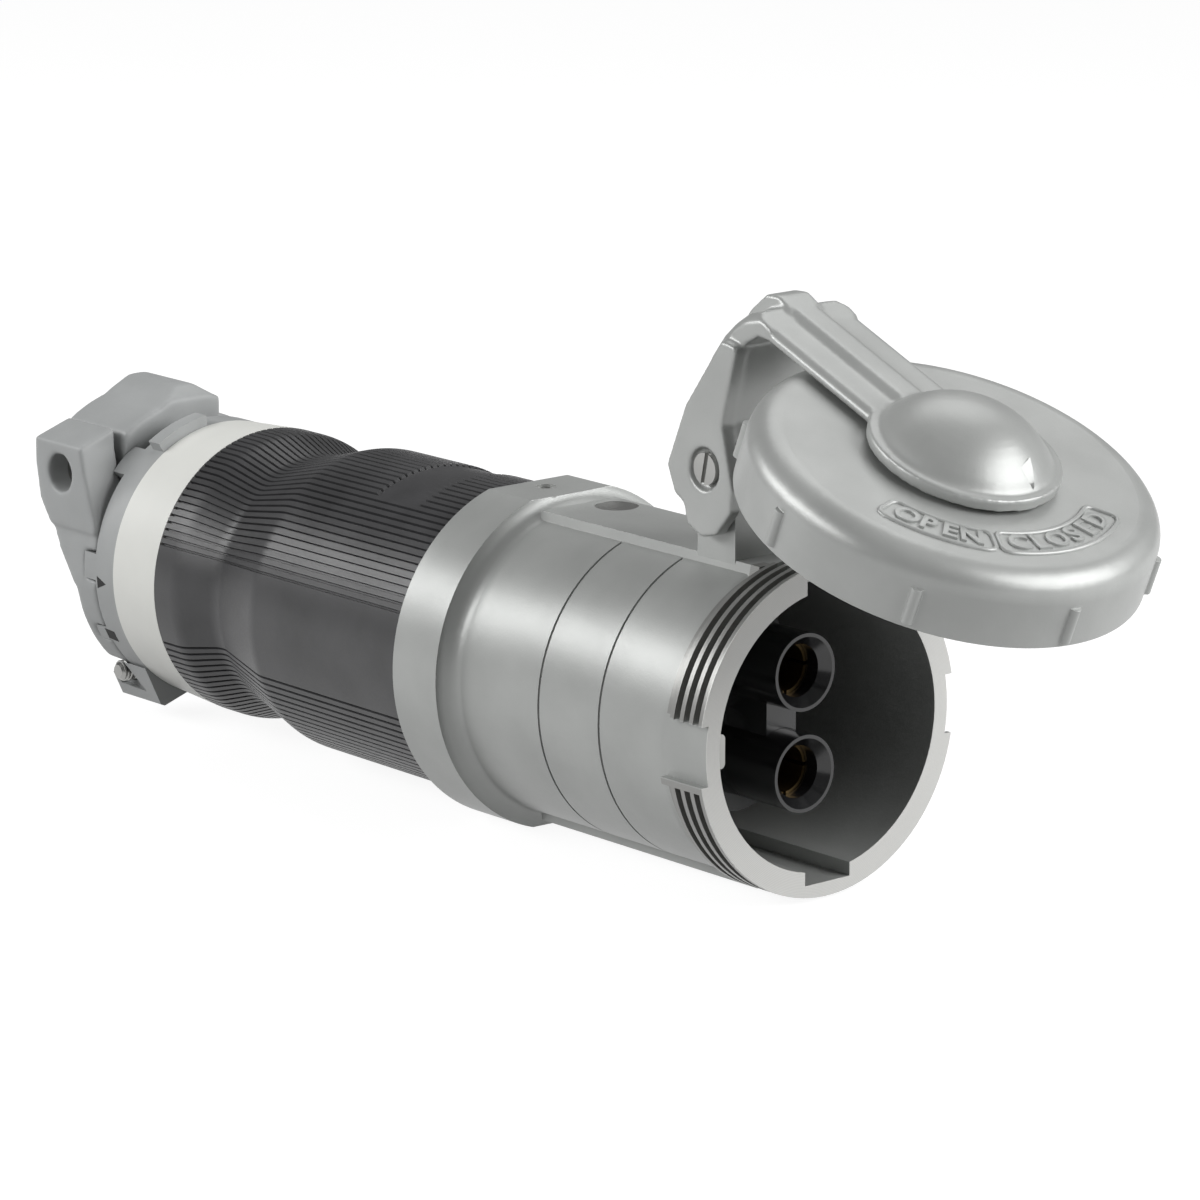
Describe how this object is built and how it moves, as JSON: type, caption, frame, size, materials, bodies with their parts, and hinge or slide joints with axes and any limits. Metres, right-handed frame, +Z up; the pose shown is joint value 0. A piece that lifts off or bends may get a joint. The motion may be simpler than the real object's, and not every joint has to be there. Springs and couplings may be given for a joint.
{
  "type": "pin and sleeve connector",
  "caption": "Heavy power connector with sleeve contacts in a round cast shell, a ribbed black handle, a cable clamp and a hinged screw lid standing open.",
  "frame": {"origin": "centre of the mouth's front face, on the connector's axis", "axes": "+X along the axis and out of the mouth, +Z up through the lid's hinge, +Y completes the frame"},
  "size_m": [0.3464, 0.096, 0.1383],
  "materials": {
    "cast_grey": "satin grey paint on a casting",
    "handle_black": "satin black",
    "insulator_black": "semi-gloss black",
    "band_white": "satin off-white",
    "clamp_grey": "matt grey",
    "plated_steel": "zinc plated",
    "contact_brass": "turned",
    "seal_rubber": "matt"
  },
  "bodies": {
    "connector": {"front_housing": "cast_grey", "ground_shoe": "plated_steel", "pad_plug": "plated_steel", "housing_set_screw": "plated_steel", "contact_insulator": "insulator_black", "rear_insulator": "insulator_black", "upper_sleeve": "insulator_black", "lower_sleeve": "insulator_black", "insulator_screws": "plated_steel", "upper_contact": "contact_brass", "lower_contact": "contact_brass", "contact_wire_screws": "plated_steel", "handle_body": "handle_black", "rating_band": "band_white", "cable_bushing": "seal_rubber", "clamp_ring": "clamp_grey", "near_clamp_jaw": "clamp_grey", "far_clamp_jaw": "clamp_grey", "upper_clamp_bolt": "plated_steel", "upper_clamp_nut": "plated_steel", "lower_clamp_bolt": "plated_steel"},
    "hinged_arm": {"lid_arm": "cast_grey", "hinge_pin": "plated_steel", "lid_stud": "plated_steel", "lid_washer": "plated_steel", "thrust_washer": "plated_steel"},
    "screw_lid": {"lid_cover": "cast_grey", "lid_lugs": "cast_grey", "lid_gasket": "seal_rubber"}
  },
  "joints": [
    {"name": "lid_hinge", "type": "hinge", "parent": "connector", "child": "hinged_arm", "pos_m": [-0.0256, 0, 0.0583], "axis": [0, -1, 0], "range_deg": [-67.56, 47]},
    {"name": "lid_turn", "type": "hinge", "parent": "hinged_arm", "child": "screw_lid", "pos_m": [0.03806, 0, 0.05971], "axis": [0.3817, 0, 0.9243], "range_deg": [-56, 0]}
  ]
}
